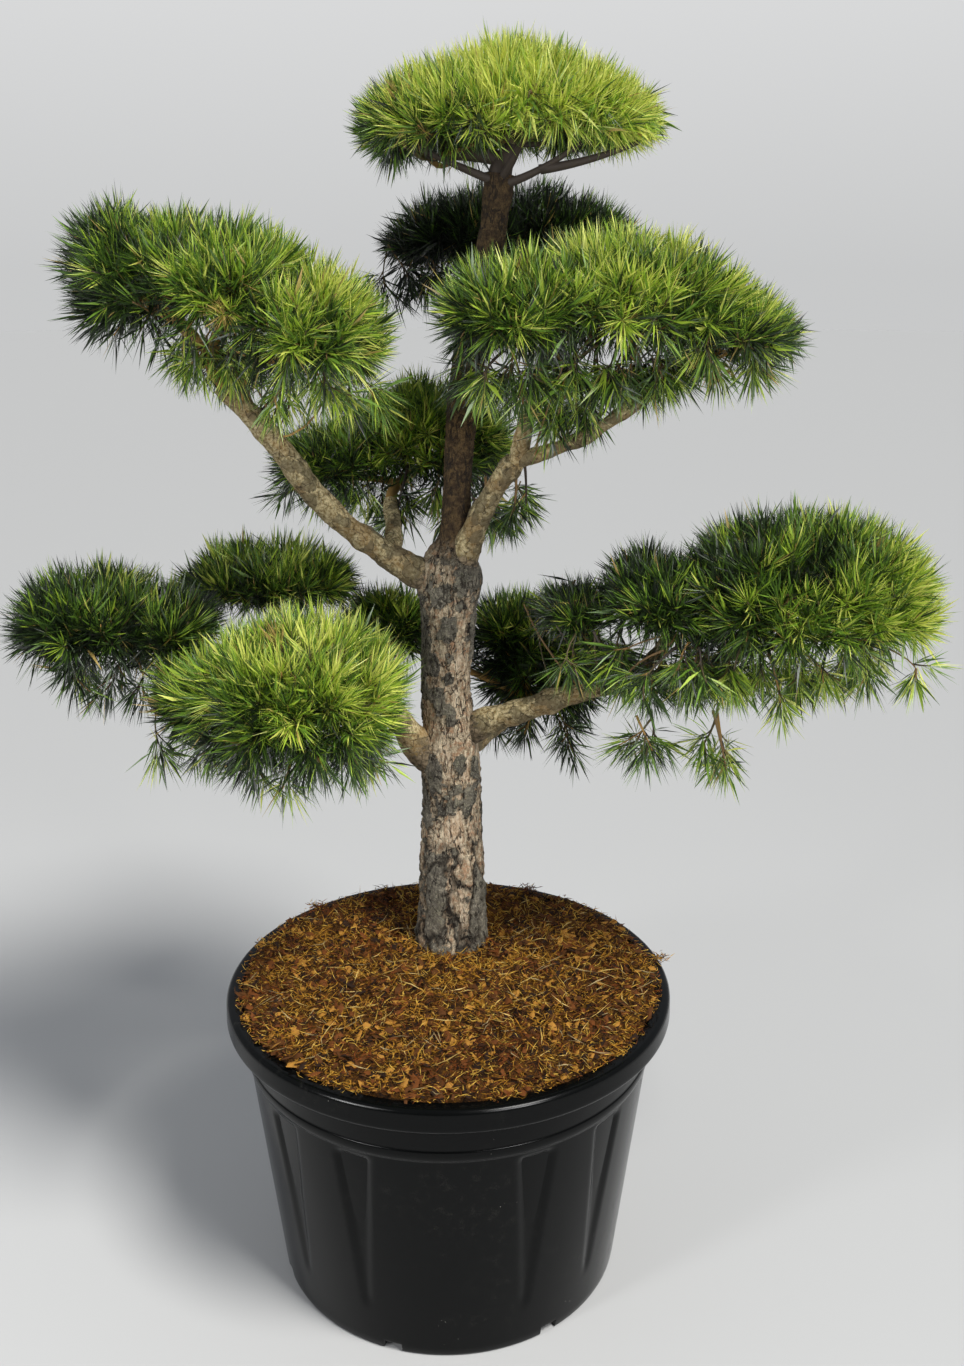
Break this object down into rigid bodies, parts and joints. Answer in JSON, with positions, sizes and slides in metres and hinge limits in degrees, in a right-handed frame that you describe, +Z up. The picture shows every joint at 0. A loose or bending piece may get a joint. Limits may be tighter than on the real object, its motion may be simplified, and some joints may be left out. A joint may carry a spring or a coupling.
{
  "type": "garden scots pine bonsai in nursery pot",
  "caption": "Cloud-pruned garden scots pine with a plated straight trunk, bare boughs and flat-bottomed needle pads, growing in a round black plastic nursery pot filled with soil.",
  "frame": {"origin": "centre of the pot's flat underside, on the floor", "axes": "+Z up along the trunk, +X to the right and +Y away from the viewer in the front view"},
  "size_m": [1.5942, 0.9385, 2.0998],
  "materials": {
    "pot_plastic": "moulded, semi-matt",
    "soil_mix": "loose bark and fibre",
    "trunk_bark": "rough plated bark",
    "branch_bark": "flaking bark",
    "needle_green": "waxy needles"
  },
  "bodies": {
    "root": {"pot": "pot_plastic", "soil": "soil_mix", "trunk": "trunk_bark", "bough_left_upper": "branch_bark", "bough_right_upper": "branch_bark", "bough_right_rise": "branch_bark", "bough_right_reach": "branch_bark", "bough_upper_back": "branch_bark", "bough_middle_back": "branch_bark", "bough_left_lower": "branch_bark", "bough_left_lower_front": "branch_bark", "bough_left_lower_far": "branch_bark", "bough_left_lower_back": "branch_bark", "bough_right_lower": "branch_bark", "bough_right_lower_near": "branch_bark", "bough_right_lower_far": "branch_bark", "bough_lower_back": "branch_bark", "mass_crown": "needle_green", "mass_upper_back": "needle_green", "mass_upper_right": "needle_green", "mass_upper_left": "needle_green", "mass_middle_back": "needle_green", "mass_lower_left_far": "needle_green", "mass_lower_left_back": "needle_green", "mass_lower_left_front": "needle_green", "mass_lower_right_near": "needle_green", "mass_lower_right_far": "needle_green", "mass_lower_back": "needle_green"}
  },
  "joints": []
}
